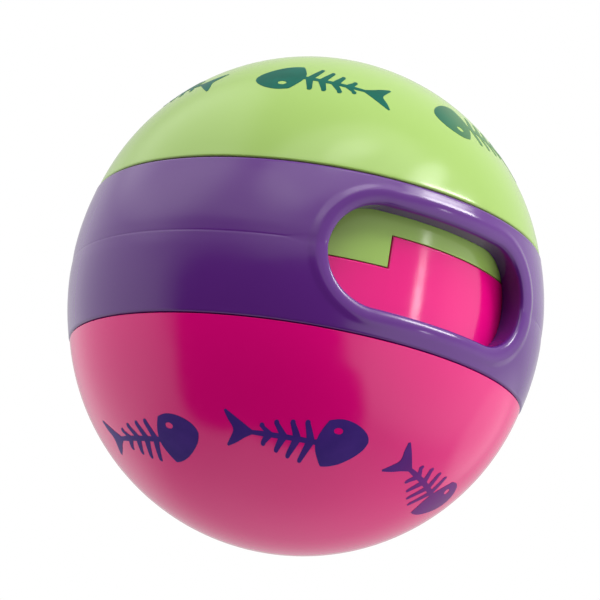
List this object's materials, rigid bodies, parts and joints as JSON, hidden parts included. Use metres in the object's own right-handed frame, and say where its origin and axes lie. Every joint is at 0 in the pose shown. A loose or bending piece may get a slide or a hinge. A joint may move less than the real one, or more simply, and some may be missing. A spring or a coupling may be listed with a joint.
{
  "type": "treat dispensing ball",
  "caption": "Treat dispensing ball for pets: two half shells that meet inside a crowned band, whose window a twist opens or closes by turning a notched neck behind it.",
  "frame": {"origin": "centre of the ball, on the twist axis, level with the middle of the band", "axes": "+Z along the twist axis towards the upper shell's pole; the window in the band faces -Y"},
  "size_m": [0.0712, 0.0709, 0.075],
  "materials": {
    "pink_plastic": "glossy injection-moulded plastic",
    "green_plastic": "glossy injection-moulded plastic",
    "purple_plastic": "glossy injection-moulded plastic",
    "teal_ink": "pad-printed ink",
    "violet_ink": "pad-printed ink"
  },
  "bodies": {
    "band": {"window_band": "purple_plastic"},
    "lower_half": {"lower_shell": "pink_plastic"},
    "upper_half": {"upper_shell": "green_plastic"}
  },
  "joints": [
    {"name": "twist", "type": "hinge", "parent": "band", "child": "lower_half", "pos_m": [0, 0, 0], "axis": [0, 0, 1], "range_deg": [0, 63]},
    {"name": "pull_off", "type": "slide", "parent": "band", "child": "upper_half", "axis": [0, 0, 1], "range_m": [0, 0.03]}
  ]
}
